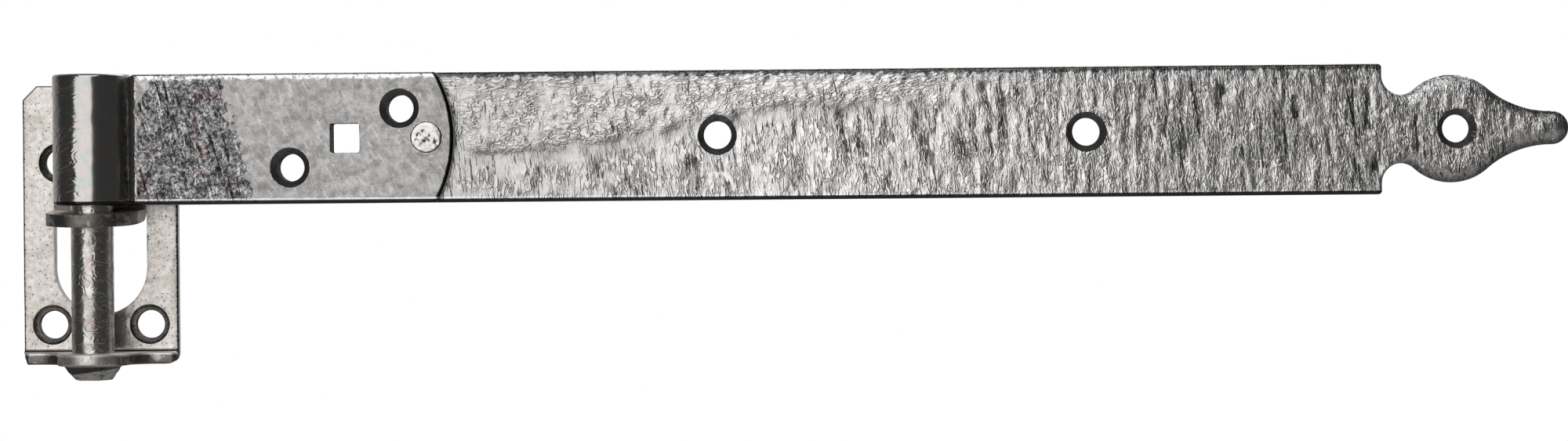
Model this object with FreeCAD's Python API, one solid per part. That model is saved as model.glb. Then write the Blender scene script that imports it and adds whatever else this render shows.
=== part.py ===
import FreeCAD, Part
import os
from math import atan2, cos, pi, radians, sin, sqrt, tan

# Hook and band hinge for a gate: a fixing plate that carries a pin, and a long strap whose eye turns on it.
# Millimetres. The origin is the middle of the plate's four screw holes, on the plate's back face.
# +X runs along the closed band, +Y goes into the post, +Z is up, so the front of the hinge faces -Y.

# Screw and bolt holes, alike in plate and band
hole_diameter = 8.5
countersink_diameter = 12.2
countersink_angle = 90.0

# Hook plate
plate_thickness = 4.0
plate_width = 48.0
plate_top = 49.0            # top edge above the middle of the screw holes
plate_corner = 4.4          # legs of the cut top corners
plate_edge_bevel = 0.5
low_screws_across = 30.0
top_screws_across = 25.6
screws_apart = 50.0         # from the low pair up to the top pair

# Tongue, sheared out of the plate and bent forward to carry the pin
tongue_top = 10.9           # where the line of its top face meets the front of the plate
tongue_width = 28.0
tongue_bend = 3.0           # inner radius of the bend
tongue_droop = 4.0          # degrees that the front hangs down
window_clearance = 0.2      # shear gap on each side of the tongue
window_bottom = -21.7       # lowest point of the round-ended window

# Foot lip, folded forward at the bottom of the plate
lip_top = -33.2
lip_bend = 1.5              # inner radius of the fold
lip_reach = 5.0             # how far its corners stand in front of the plate
lip_corner = 2.0
nose_radius = 11.0          # round nose about the pin
nose_fillet = 7.0           # hollow curve between nose and lip

# Pin
pin_diameter = 13.0
pin_stand_off = 13.0        # from the front of the plate to the pin's axis
pin_clearance = 0.05        # around the pin in tongue and lip
pin_recess = 2.0            # top of the pin below the top of the eye
pin_top_bevel = 1.5
head_diameter = 18.0        # peened head under the lip
head_rim = 1.2
head_height = 4.6
head_flat = 12.0            # diameter of the flat under the head

# Band
band_width = 40.0
band_thickness = 5.0
band_length = 451.3         # from the pin's axis to the point
band_edge_bevel = 0.9
eye_clearance = 0.25        # around the pin
eye_seat_gap = 0.9          # from the line of the tongue's top to the eye
flap_length = 110.5         # from the pin's axis to the middle of the flap's end
flap_gap = 0.2              # between flap and strap
flap_end_radius = 40.0
fold_radius = 3.0           # hollow bend where the eye runs into the flap

# Holes through flap and strap: one square hole, with a round one on either side of it
square_hole_x = 77.2
square_hole_side = 9.0
square_hole_round = 0.6
flap_hole_along = 16.8
flap_hole_across = 8.9

# Rivet at the end of the flap
rivet_from_end = 8.3
rivet_diameter = 8.0
rivet_head_diameter = 9.6
rivet_head_depth = 0.8
rivet_dome = 0.4
rivet_clearance = 0.05

# Spear point of the band
point_length = 57.1         # from the shoulder to the end
shoulder_round = 1.2
neck_radius = 6.0
neck_width = 21.0
bulb_radius = 16.5
ogee_radius = 30.0
point_radius = 5.1
point_hole_offset = 1.5     # hole in the bulb, past the middle of the bulb
strap_hole_pitch = 113.0    # from that hole back to the next ones
strap_hole_count = 3

# Places that follow from the sizes above
plate_front = -plate_thickness
pin_y = plate_front - pin_stand_off
pin_radius = pin_diameter / 2
lip_bottom = lip_top - plate_thickness
band_bottom = tongue_top + eye_seat_gap
band_top = band_bottom + band_width
band_middle = (band_bottom + band_top) / 2
eye_inner = pin_radius + eye_clearance
eye_outer = eye_inner + band_thickness
strap_back = pin_y + eye_outer
strap_front = pin_y + eye_inner
flap_back = strap_front - flap_gap
flap_front = flap_back - band_thickness
shoulder_x = band_length - point_length
neck_z = neck_width / 2 + neck_radius
bulb_x = shoulder_x + neck_radius + sqrt((neck_radius + bulb_radius) ** 2 - neck_z ** 2)
point_hole_x = bulb_x + point_hole_offset
rivet_x = flap_length - rivet_from_end

# Cutting bodies reach this far past the faces they cut
over = 1.0
# Two places closer than this are the same place
near = 1e-6


def vector(x, y, z):
    return FreeCAD.Vector(x, y, z)


def line(place, start, end):
    """A straight edge between two points of the plane that place lays out in space."""
    return Part.makeLine(place(*start), place(*end))


def arc(place, centre, radius, start, end):
    """An arc about a centre, from one angle to another, in the plane that place lays out in space."""
    points = []
    for angle in (start, (start + end) / 2, end):
        points.append(place(centre[0] + radius * cos(angle), centre[1] + radius * sin(angle)))
    return Part.Arc(*points).toShape()


def prism(edges, along):
    """A closed outline carried along a vector."""
    return Part.Face(Part.Wire(edges)).extrude(along)


def rounded(shape, radius, wanted):
    """The shape with a fillet on each edge whose box is wanted."""
    return shape.makeFillet(radius, [edge for edge in shape.Edges if wanted(edge.BoundBox)])


def bevelled(shape, size, wanted):
    """The shape with a bevel on each edge whose box is wanted."""
    return shape.makeChamfer(size, [edge for edge in shape.Edges if wanted(edge.BoundBox)])


def upright(radius, x, y, low, high):
    return Part.makeCylinder(radius, high - low, vector(x, y, low))


def crossing(radius, x, z, front, back):
    """A round bar through plate or band, from front to back."""
    return Part.makeCylinder(radius, back - front, vector(x, front, z), vector(0, 1, 0))


def countersunk_hole(x, z, front, back):
    """The cutting body of one screw hole, countersunk on the front."""
    spread = tan(radians(countersink_angle / 2))
    small = hole_diameter / 2
    mouth = countersink_diameter / 2 + over * spread
    depth = (mouth - small) / spread
    cone = Part.makeCone(mouth, small, depth, vector(x, front - over, z), vector(0, 1, 0))
    return crossing(small, x, z, front - over, back + over).fuse(cone)


def bent_leg(width, inner, top, droop, reach):
    """A leg that leaves the bottom of the plate in a bend and runs forward, drooping by an angle.

    top is where the line of the leg's upper face meets the front of the plate. The leg runs to a plane
    at reach. Returns the leg and the height at which its bend leaves the plate."""
    start = top - inner * tan(droop) + inner / cos(droop)
    centre = (plate_front - inner, start)
    outer = inner + plate_thickness
    turn = droop - pi / 2
    run = (centre[0] - reach) / cos(droop)

    def place(y, z):
        return vector(-width / 2, y, z)

    def bend_end(radius):
        return (centre[0] + radius * cos(turn), centre[1] + radius * sin(turn))

    def leg_end(radius):
        y, z = bend_end(radius)
        return (y - run * cos(droop), z - run * sin(droop))

    edges = [
        arc(place, centre, outer, 0, turn),
        line(place, bend_end(outer), leg_end(outer)),
        line(place, leg_end(outer), leg_end(inner)),
        line(place, leg_end(inner), bend_end(inner)),
        arc(place, centre, inner, turn, 0),
        line(place, (plate_front, start), (0, start)),
    ]
    return prism(edges, vector(width, 0, 0)), start


def tongue_outline(low, high):
    """Plan of the tongue: straight sides and a round end about the pin."""
    half = tongue_width / 2

    def place(x, y):
        return vector(x, y, low)

    edges = [
        line(place, (half, over), (-half, over)),
        line(place, (-half, over), (-half, pin_y)),
        arc(place, (0, pin_y), half, pi, 2 * pi),
        line(place, (half, pin_y), (half, over)),
    ]
    return prism(edges, vector(0, 0, high - low))


def lip_outline(low, high):
    """Plan of the foot lip: short corners that sweep through hollow curves into the nose."""
    half = plate_width / 2
    edge = plate_front - lip_reach
    fillet_y = edge - nose_fillet
    fillet_x = sqrt((nose_radius + nose_fillet) ** 2 - (fillet_y - pin_y) ** 2)
    lean = atan2(fillet_y - pin_y, fillet_x)
    corner_x = half - lip_corner
    corner_y = edge + lip_corner

    def place(x, y):
        return vector(x, y, low)

    edges = [
        line(place, (half, over), (-half, over)),
        line(place, (-half, over), (-half, corner_y)),
        arc(place, (-corner_x, corner_y), lip_corner, pi, 1.5 * pi),
        line(place, (-corner_x, edge), (-fillet_x, edge)),
        arc(place, (-fillet_x, fillet_y), nose_fillet, pi / 2, -lean),
        arc(place, (0, pin_y), nose_radius, pi - lean, 2 * pi + lean),
        arc(place, (fillet_x, fillet_y), nose_fillet, pi + lean, pi / 2),
        line(place, (fillet_x, edge), (corner_x, edge)),
        arc(place, (corner_x, corner_y), lip_corner, 1.5 * pi, 2 * pi),
        line(place, (half, corner_y), (half, over)),
    ]
    return prism(edges, vector(0, 0, high - low))


def flat_plate(low):
    """The upright part of the plate, with cut top corners and rounded edges."""
    half = plate_width / 2
    shoulder = plate_top - plate_corner

    def place(x, z):
        return vector(x, plate_front, z)

    corners = [
        (-half, low),
        (half, low),
        (half, shoulder),
        (half - plate_corner, plate_top),
        (plate_corner - half, plate_top),
        (-half, shoulder),
    ]
    edges = [line(place, a, b) for a, b in zip(corners, corners[1:] + corners[:1])]
    plate = prism(edges, vector(0, plate_thickness, 0))
    return bevelled(plate, plate_edge_bevel, lambda box: box.YLength < near and box.ZMax > low + near)


def window(high):
    """The round-ended window that the tongue was sheared out of."""
    half = tongue_width / 2 + window_clearance
    centre = window_bottom + half

    def place(x, z):
        return vector(x, plate_front - over, z)

    edges = [
        line(place, (half, high), (-half, high)),
        line(place, (-half, high), (-half, centre)),
        arc(place, (0, centre), half, pi, 2 * pi),
        line(place, (half, centre), (half, high)),
    ]
    return prism(edges, vector(0, plate_thickness + 2 * over, 0))


def hook_plate():
    """Plate, tongue and foot lip: one folded piece."""
    nose_front = pin_y - nose_radius
    tongue_front = pin_y - tongue_width / 2
    droop = radians(tongue_droop)
    tongue, tongue_start = bent_leg(tongue_width, tongue_bend, tongue_top, droop, tongue_front - over)
    lip, lip_start = bent_leg(plate_width, lip_bend, lip_top, 0, nose_front - over)

    tongue = tongue.common(tongue_outline(window_bottom, tongue_start + over))
    lip = lip.common(lip_outline(lip_bottom - over, lip_start + over))

    def lip_edge(box):
        upright_edge = max(box.XLength, box.YLength) < near
        across = box.XLength > plate_width - near
        return not upright_edge and not across and box.ZMin < lip_start - near

    lip = bevelled(lip, plate_edge_bevel, lip_edge)

    plate = flat_plate(lip_start).cut(window(tongue_start))
    plate = plate.fuse([tongue, lip]).removeSplitter()
    holes = [upright(pin_radius + pin_clearance, 0, pin_y, lip_bottom - over, tongue_top + over)]
    for level, across in ((-1, low_screws_across), (1, top_screws_across)):
        for side in (-1, 1):
            x = side * across / 2
            z = level * screws_apart / 2
            holes.append(countersunk_hole(x, z, plate_front, 0))
    return plate.cut(holes)


def hook_pin():
    """The pin, with a rounded top inside the eye and a peened head under the lip."""
    top = band_top - pin_recess
    pin = upright(pin_radius, 0, pin_y, lip_bottom, top)
    pin = bevelled(pin, pin_top_bevel, lambda box: box.ZMin > top - near)

    rim = head_diameter / 2
    flat = head_flat / 2
    rim_bottom = lip_bottom - head_rim
    bottom = lip_bottom - head_height
    inward = rim - flat
    down = rim_bottom - bottom
    curl = (inward ** 2 + down ** 2) / (2 * inward)
    end = atan2(-down, curl - inward)

    def place(x, z):
        return vector(x, pin_y, z)

    edges = [
        line(place, (0, lip_bottom), (rim, lip_bottom)),
        line(place, (rim, lip_bottom), (rim, rim_bottom)),
        arc(place, (rim - curl, rim_bottom), curl, 0, end),
        line(place, (flat, bottom), (0, bottom)),
        line(place, (0, bottom), (0, lip_bottom)),
    ]
    head = Part.Face(Part.Wire(edges)).revolve(vector(0, pin_y, 0), vector(0, 0, 1), 360)
    return pin.fuse(head).removeSplitter()


def folded_strip():
    """The flat bar rolled into its eye and back as the flap, before its ends are shaped."""
    strap_end = band_length + over
    flap_end = flap_length + over
    eye = (0, pin_y)
    fold_y = flap_front - fold_radius
    fold_x = sqrt((eye_outer + fold_radius) ** 2 - (fold_y - pin_y) ** 2)
    lean = atan2(fold_y - pin_y, fold_x)
    fold = (fold_x, fold_y)

    def place(x, y):
        return vector(x, y, band_bottom)

    edges = [
        line(place, (strap_end, strap_back), (0, strap_back)),
        arc(place, eye, eye_outer, pi / 2, 2 * pi + lean),
        arc(place, fold, fold_radius, pi + lean, pi / 2),
        line(place, (fold_x, flap_front), (flap_end, flap_front)),
        line(place, (flap_end, flap_front), (flap_end, flap_back)),
        line(place, (flap_end, flap_back), (fold_x, flap_back)),
        arc(place, fold, fold_radius + band_thickness, pi / 2, pi + lean),
        arc(place, eye, eye_inner, 2 * pi + lean, pi / 2),
        line(place, (0, strap_front), (strap_end, strap_front)),
        line(place, (strap_end, strap_front), (strap_end, strap_back)),
    ]
    return prism(edges, vector(0, 0, band_width))


def spear_outline():
    """Front view of the band: a straight bar up to the shoulder, then neck, bulb and ogee point."""
    start = -eye_outer - over
    half = band_width / 2 + over
    point_x = band_length - point_radius
    reach = point_x - bulb_x
    from_bulb = bulb_radius + ogee_radius
    from_point = point_radius + ogee_radius
    ogee_x = bulb_x + (reach ** 2 + from_bulb ** 2 - from_point ** 2) / (2 * reach)
    ogee_z = sqrt(from_bulb ** 2 - (ogee_x - bulb_x) ** 2)
    neck_x = shoulder_x + neck_radius
    neck_turn = atan2(neck_z, neck_x - bulb_x)
    bulb_turn = atan2(ogee_z, ogee_x - bulb_x)
    point_turn = atan2(ogee_z, ogee_x - point_x)

    def place(x, z):
        return vector(x, flap_front - eye_outer, band_middle + z)

    edges = [
        line(place, (shoulder_x, -neck_z), (shoulder_x, -half)),
        line(place, (shoulder_x, -half), (start, -half)),
        line(place, (start, -half), (start, half)),
        line(place, (start, half), (shoulder_x, half)),
        line(place, (shoulder_x, half), (shoulder_x, neck_z)),
        arc(place, (neck_x, neck_z), neck_radius, pi, pi + neck_turn),
        arc(place, (bulb_x, 0), bulb_radius, neck_turn, bulb_turn),
        arc(place, (ogee_x, ogee_z), ogee_radius, pi + bulb_turn, pi + point_turn),
        arc(place, (point_x, 0), point_radius, point_turn, -point_turn),
        arc(place, (ogee_x, -ogee_z), ogee_radius, pi - point_turn, pi - bulb_turn),
        arc(place, (bulb_x, 0), bulb_radius, -bulb_turn, -neck_turn),
        arc(place, (neck_x, -neck_z), neck_radius, pi - neck_turn, pi),
    ]
    return prism(edges, vector(0, 3 * eye_outer + band_thickness, 0))


def flap_end_waste():
    """What the flap's end loses to its round outline."""
    centre_x = flap_length - flap_end_radius
    front = flap_front - over
    back = flap_back + flap_gap / 2
    block = Part.makeBox(
        flap_end_radius + 2 * over,
        back - front,
        band_width + 2 * over,
        vector(centre_x, front, band_bottom - over),
    )
    return block.cut(crossing(flap_end_radius, centre_x, band_middle, front - over, back + over))


def square_hole():
    half = square_hole_side / 2
    corner = vector(square_hole_x - half, flap_front - over, band_middle - half)
    depth = strap_back - flap_front + 2 * over
    block = Part.makeBox(square_hole_side, depth, square_hole_side, corner)
    return rounded(block, square_hole_round, lambda box: box.YLength > depth - near)


def rivet_sides(clearance):
    """Half the outline of the rivet's shank and countersunk heads, from the front face to the back."""
    shank = rivet_diameter / 2 + clearance
    head = rivet_head_diameter / 2 + clearance
    return [
        (head, flap_front),
        (shank, flap_front + rivet_head_depth),
        (shank, strap_back - rivet_head_depth),
        (head, strap_back),
    ]


def turned_rivet(corners, closing):
    """A body turned about the rivet's axis, from its corners and the edges that close its outline."""
    edges = [line(on_rivet, a, b) for a, b in zip(corners, corners[1:])] + closing
    return Part.Face(Part.Wire(edges)).revolve(on_rivet(0, 0), vector(0, 1, 0), 360)


def on_rivet(x, y):
    return vector(rivet_x + x, y, band_middle)


def rivet_hole():
    """The cutting body for the rivet, reaching out of flap and strap."""
    sides = rivet_sides(rivet_clearance)
    head = sides[0][0]
    front = flap_front - over
    back = strap_back + over
    corners = [(0, front), (head, front)] + sides + [(head, back), (0, back)]
    return turned_rivet(corners, [line(on_rivet, corners[-1], corners[0])])


def flap_rivet():
    """The rivet: flush at the back of the strap, with a low dome on the flap."""
    sides = rivet_sides(0)
    head = sides[0][0]
    radius = (rivet_dome ** 2 + head ** 2) / (2 * rivet_dome)
    rise = atan2(head, radius - rivet_dome)
    top = flap_front - rivet_dome
    corners = sides + [(0, strap_back), (0, top)]
    return turned_rivet(corners, [arc(on_rivet, (0, top + radius), radius, -pi / 2, rise - pi / 2)])


def band():
    """The folded bar with its spear point, flap end and holes."""
    strip = folded_strip().common(spear_outline())

    def shoulder_edge(box):
        return abs(box.Center.x - shoulder_x) < near and max(box.XLength, box.ZLength) < near

    def long_edge(box):
        flat = box.ZLength < near
        return flat and (box.ZMin < band_bottom + near or box.ZMax > band_top - near) and box.XLength > near

    def point_edge(box):
        return box.YLength < near and box.XMin > shoulder_x - shoulder_round - near

    strip = rounded(strip, shoulder_round, shoulder_edge)
    strip = bevelled(strip, band_edge_bevel, lambda box: long_edge(box) or point_edge(box))

    cuts = [flap_end_waste(), square_hole(), rivet_hole()]
    for side in (-1, 1):
        x = square_hole_x + side * flap_hole_along
        z = band_middle + side * flap_hole_across
        cuts.append(countersunk_hole(x, z, flap_front, strap_back))
    for number in range(strap_hole_count):
        x = point_hole_x - number * strap_hole_pitch
        cuts.append(countersunk_hole(x, band_middle, strap_front, strap_back))
    for cut in cuts:
        strip = strip.cut(cut)
    return strip


def main():
    pieces = {
        "hook_plate": hook_plate(),
        "hook_pin": hook_pin(),
        "band": band(),
        "flap_rivet": flap_rivet(),
    }
    os.makedirs("parts", exist_ok=True)
    for name, piece in pieces.items():
        piece.exportStep(f"parts/{name}.step")
        solids = len(piece.Solids)
        print(f"{name}: {solids} solid, {piece.Volume:.0f} mm3, valid {piece.isValid()}")


main()
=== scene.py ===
# %% [markdown]
# # Hook and band hinge
# This lesson dresses a heavy gate hinge: a fixing plate with a pin, and a long strap whose rolled eye turns
# on it. The frame that is loaded here holds the four pieces as plain solids, at their real size and place.
# Blender adds what the solids lack: the soft hammered edges, the forged skin and the bright zinc coat. Every
# new piece is modelled on top of its solid, so nothing has to be fitted afterwards.

# %% Load the solids
from math import atan2, cos, exp, hypot, pi, radians, sin, sqrt

import bmesh
import bpy
from mathutils import Matrix, Vector, kdtree, noise


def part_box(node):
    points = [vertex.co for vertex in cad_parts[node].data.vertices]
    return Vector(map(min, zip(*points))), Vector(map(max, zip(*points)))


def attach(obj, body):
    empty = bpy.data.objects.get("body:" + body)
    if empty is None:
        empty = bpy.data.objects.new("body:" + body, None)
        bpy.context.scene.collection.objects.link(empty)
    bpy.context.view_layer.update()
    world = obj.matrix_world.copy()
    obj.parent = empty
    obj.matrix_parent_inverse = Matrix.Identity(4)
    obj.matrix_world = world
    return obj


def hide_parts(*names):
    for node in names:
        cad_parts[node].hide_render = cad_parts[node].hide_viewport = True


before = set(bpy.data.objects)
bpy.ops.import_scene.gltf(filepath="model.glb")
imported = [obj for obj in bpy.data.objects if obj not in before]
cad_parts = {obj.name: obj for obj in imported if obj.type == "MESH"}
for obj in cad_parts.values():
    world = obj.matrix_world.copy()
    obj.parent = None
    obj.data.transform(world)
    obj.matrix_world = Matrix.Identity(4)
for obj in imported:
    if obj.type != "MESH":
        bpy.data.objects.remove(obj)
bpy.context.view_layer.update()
for name in sorted(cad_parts):
    low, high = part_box(name)
    print(name, "mm:", [round(1000 * side, 1) for side in high - low])

# %% [markdown]
# The hinge is small, so all sizes are written in millimetres and multiplied by MM. The places that the solids
# already hold are read from their boxes: the pin stands on the middle of its own box, the back of the strap
# is the back of the band, and the eye reaches as far left of the pin as the band does.

# %% Places read from the solids
MM = 0.001
NEAR = 1e-6
band_low, band_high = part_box("band")
pin_low, pin_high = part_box("hook_pin")
plate_low, plate_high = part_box("hook_plate")
rivet_low, rivet_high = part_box("flap_rivet")

middle_z = (band_low.z + band_high.z) / 2
half_width = (band_high.z - band_low.z) / 2
pin_y = (pin_low.y + pin_high.y) / 2
bar = 5 * MM
strap_back = band_high.y
strap_front = strap_back - bar
eye_outer = strap_back - pin_y
eye_inner = eye_outer - bar
tip_x = band_high.x
print("pin axis at y", round(pin_y / MM, 2), "mm, eye", round(eye_outer / MM, 2), "mm outside")

# %% [markdown]
# A few small helpers do what the mouse does by hand. An operator acts on all that is selected, and the loaded
# solids come in selected, so the first one leaves a single object selected. The next ones go in and out of
# edit mode, and the last ones pick vertices, edges or faces by their place.

# %% Helpers for selecting


def deselect():
    bpy.ops.object.select_all(action="DESELECT")


def only(piece):
    """Leaves one object selected and active."""
    deselect()
    piece.select_set(True)
    bpy.context.view_layer.objects.active = piece


def edit(piece, kind="VERT"):
    only(piece)
    bpy.ops.object.mode_set(mode="EDIT")
    bpy.ops.mesh.select_mode(type=kind)


def done():
    bpy.ops.object.mode_set(mode="OBJECT")


def take_all():
    bpy.ops.mesh.select_all(action="SELECT")


def pick(piece, kind, wanted):
    """In edit mode, selects each of the verts, edges or faces that is wanted, and returns how many."""
    mesh = bmesh.from_edit_mesh(piece.data)
    bpy.ops.mesh.select_all(action="DESELECT")
    chosen = [item for item in getattr(mesh, kind) if wanted(item)]
    for item in chosen:
        item.select_set(True)
    mesh.select_flush_mode()
    bmesh.update_edit_mesh(piece.data)
    return len(chosen)


def all_at(axis, place):
    """A test for pick: every corner of the item lies in one plane across an axis."""
    return lambda item: all(abs(v.co[axis] - place) < NEAR for v in item.verts)


# %% [markdown]
# ## The band
# The real band is one flat bar, 40 by 5 mm. A smith points one end, then rolls the other end round a mandrel
# into the eye and lays it back on the strap as a flap. The model is drawn out in the same order. It could be
# cut from one block with booleans, but a bar that is extruded and spun keeps an even net of small faces all
# the way round the eye, and the forged skin needs that net later.
#
# The spear point comes first. Its outline is a chain of arcs that run into each other: the hollow neck, the
# bulb, the ogee and the blunt end. One vertex is drawn along the upper half with extrude and spin.

# %% Sizes of the spear point
point_length = 57.1 * MM
shoulder_round = 1.2 * MM
neck_radius = 6.0 * MM
neck_half = 10.5 * MM
bulb_radius = 16.5 * MM
ogee_radius = 30.0 * MM
blunt_radius = 5.1 * MM
stub_length = 4.0 * MM
arc_step = 0.8 * MM

shoulder_x = tip_x - point_length
stub_x = shoulder_x - stub_length
neck_x = shoulder_x + neck_radius
neck_z = neck_half + neck_radius
bulb_x = neck_x + sqrt((neck_radius + bulb_radius) ** 2 - neck_z ** 2)
blunt_x = tip_x - blunt_radius
from_bulb = bulb_radius + ogee_radius
from_blunt = blunt_radius + ogee_radius
reach = blunt_x - bulb_x
ogee_x = bulb_x + (reach ** 2 + from_bulb ** 2 - from_blunt ** 2) / (2 * reach)
ogee_z = sqrt(from_bulb ** 2 - (ogee_x - bulb_x) ** 2)
neck_turn = atan2(neck_z, neck_x - bulb_x)
bulb_turn = atan2(ogee_z, ogee_x - bulb_x)
blunt_turn = atan2(ogee_z, ogee_x - blunt_x)
print("bulb", round(bulb_x / MM, 1), "ogee", round(ogee_x / MM, 1), round(ogee_z / MM, 1), "mm")

# %% Draw half the outline, mirror it and fill it


def extrude(x, y, z):
    """Extrudes all that is selected by a step."""
    bpy.ops.mesh.extrude_region_move(TRANSFORM_OT_translate={"value": (x, y, z)})


def swing(x, z, radius, turn):
    """Spins the selected vertex about a centre, anticlockwise from the front."""
    bpy.ops.mesh.spin(
        steps=max(4, round(abs(turn) * radius / arc_step)),
        angle=turn,
        center=(x, strap_front, middle_z + z),
        axis=(0, 1, 0),
    )


deselect()
bpy.ops.mesh.primitive_plane_add(size=stub_length)
band = bpy.context.object
band.name = "forged_band"
edit(band)
take_all()
bpy.ops.mesh.merge(type="CENTER")
done()
band.data.vertices[0].co = (stub_x, strap_front, middle_z + half_width)
edit(band)
take_all()
extrude(stub_length - shoulder_round, 0, 0)
swing(shoulder_x - shoulder_round, half_width - shoulder_round, shoulder_round, -pi / 2)
extrude(0, 0, neck_z - half_width + shoulder_round)
swing(neck_x, neck_z, neck_radius, neck_turn)
swing(bulb_x, 0, bulb_radius, bulb_turn - neck_turn)
swing(ogee_x, ogee_z, ogee_radius, blunt_turn - bulb_turn)
swing(blunt_x, 0, blunt_radius, -blunt_turn)
take_all()
bpy.ops.mesh.duplicate()
bpy.ops.transform.resize(value=(1, 1, -1), center_override=(0, 0, middle_z))
take_all()
bpy.ops.mesh.remove_doubles(threshold=NEAR)
pick(band, "verts", lambda v: abs(v.co.x - stub_x) < NEAR)
bpy.ops.mesh.edge_face_add()
take_all()
bpy.ops.mesh.edge_face_add()
outline = bmesh.from_edit_mesh(band.data)
print("outline:", len(outline.verts), "points,", len(outline.faces), "face")
done()

# %% [markdown]
# Extruding the outline by the bar's thickness gives the spear its body. The hot zinc and the hammer leave no
# sharp edge on a forged bar, so its rims are bevelled in several small steps. Bisecting it with planes then
# lays the net of small faces over it. The face at the back end is taken away, because the bar is drawn on
# from there.

# %% Thicken the spear, round its rims and lay the net
rim_round = 1.0 * MM
net = 0.8 * MM


def face_outward():
    take_all()
    bpy.ops.mesh.normals_make_consistent(inside=False)


def bevel(offset, steps, profile=0.5):
    bpy.ops.mesh.bevel(offset=offset, segments=steps, profile=profile, affect="EDGES")


def spread(low, high, mesh_width):
    """Evenly spaced places between two ends, about one mesh of the net apart, without the ends."""
    count = round((high - low) / mesh_width)
    return [low + (high - low) * step / count for step in range(1, count)]


def lay_net(axis, places):
    """Bisects the whole mesh in edit mode with planes across one axis."""
    for place in places:
        take_all()
        across = Vector((0, 0, 0))
        across[axis] = 1
        bpy.ops.mesh.bisect(plane_co=across * place, plane_no=across, threshold=NEAR)


edit(band, "FACE")
take_all()
extrude(0, bar, 0)
face_outward()
bpy.ops.mesh.select_mode(type="EDGE")
front_rim = all_at(1, strap_front)
back_rim = all_at(1, strap_back)
stub_end = all_at(0, stub_x)
pick(band, "edges", lambda e: (front_rim(e) or back_rim(e)) and not stub_end(e))
bevel(rim_round, 4)
bpy.ops.mesh.select_mode(type="FACE")
pick(band, "faces", stub_end)
bpy.ops.mesh.delete(type="FACE")
lay_net(2, spread(band_low.z + rim_round, band_high.z - rim_round, net))
lay_net(0, spread(stub_x, tip_x, net))
print("spear point:", len(bmesh.from_edit_mesh(band.data).faces), "faces")
done()

# %% [markdown]
# Now the open end of the stub is drawn out along the strap, rolled round the pin's axis, turned back round
# the small fold and laid along the strap as the flap. A Curve modifier could wrap a straight bar the same
# way, but extrude and spin keep every ring of the net square to the bar. The long edges that the extrusions
# leave are cut in three rounds, until all rings lie about as close as the net.

# %% Draw the bar, roll the eye, lay the flap
flap_length = 110.5 * MM
flap_gap = 0.2 * MM
fold_radius = 1.8 * MM
eye_steps = 72
fold_steps = 10
ring_cuts = [(300 * MM, 21), (15 * MM, 21), (3 * MM, 4)]

flap_back = strap_front - flap_gap
flap_front = flap_back - bar
flap_side = strap_front - flap_gap / 2
fold_y = flap_front - fold_radius
fold_x = sqrt((eye_outer + fold_radius) ** 2 - (fold_y - pin_y) ** 2)
lean = atan2(fold_y - pin_y, fold_x)

edit(band, "EDGE")
ring = pick(band, "edges", stub_end)
extrude(-stub_x, 0, 0)
bpy.ops.mesh.spin(steps=eye_steps, angle=-1.5 * pi - lean, center=(0, pin_y, 0), axis=(0, 0, 1))
bpy.ops.mesh.spin(steps=fold_steps, angle=pi / 2 + lean, center=(fold_x, fold_y, 0), axis=(0, 0, 1))
extrude(flap_length - fold_x, 0, 0)
for longer_than, cuts in ring_cuts:
    pick(band, "edges", lambda e: abs(e.verts[0].co.x - e.verts[1].co.x) > longer_than)
    bpy.ops.mesh.subdivide(number_cuts=cuts)
print("ring of", ring, "edges,", len(bmesh.from_edit_mesh(band.data).faces), "faces in the bar")
done()

# %% [markdown]
# The end of the flap was sheared to a shallow arc. Bridging the front row of the open end to its back row
# closes it with a strip of small faces, and two corner faces finish it. After a bevel along that rim, the
# last stretch of the flap is pulled back by the depth of the arc, a little more at each ring.

# %% Close the end of the flap and give it its arc
flap_end_radius = 40.0 * MM
arc_stretch = 25.0 * MM
end_ring = all_at(0, flap_length)


def off_middle(item):
    return max(abs(v.co.z - middle_z) for v in item.verts)


def arc_depth(across):
    return flap_end_radius - sqrt(flap_end_radius ** 2 - across ** 2)


edit(band, "EDGE")
pick(band, "edges", lambda e: end_ring(e) and off_middle(e) < half_width - rim_round + NEAR)
bpy.ops.mesh.bridge_edge_loops()
for side in (-1, 1):
    pick(band, "edges", lambda e: end_ring(e) and e.is_boundary and side * (e.verts[0].co.z - middle_z) > 0)
    bpy.ops.mesh.edge_face_add()
face_outward()
pick(band, "edges", lambda e: end_ring(e) and e.calc_face_angle(0) > pi / 4)
bevel(0.8 * rim_round, 3)
done()
for vertex in band.data.vertices:
    share = (vertex.co.x - flap_length + arc_stretch) / arc_stretch
    if share > 0 and vertex.co.y < flap_side:
        vertex.co.x -= share * arc_depth(vertex.co.z - middle_z)
print("flap end: corners", round(arc_depth(half_width) / MM, 2), "mm behind the middle")

# %% [markdown]
# ## The forged skin
# The strap was hammered hot, and the zinc bath kept every mark: a soft ledge runs along it from the flap up
# to the top edge, with leathery skin above it, and towards the point the skin is drawn into upright streaks
# and seams. Bump alone would leave the outline and the reflections flat, so the marks are real relief here.
# Vertex groups say where each kind of mark goes, and one Displace modifier for each pushes the net in or out.

# %% Where each kind of mark goes
half_bar = bar / 2
strap_core = strap_back - half_bar
flap_core = flap_back - half_bar
ledge_start = (125 * MM, 27.0 * MM)
ledge_end = (225 * MM, 41.0 * MM)
ledge_softness = 2.4 * MM
ledge_wander = 1.6 * MM
ledge_pitch = 9 * MM


def clamp(value):
    return min(1.0, max(0.0, value))


def ease(low, high, value):
    """Runs softly from 0 at low to 1 at high."""
    share = clamp((value - low) / (high - low))
    return share * share * (3 - 2 * share)


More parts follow.
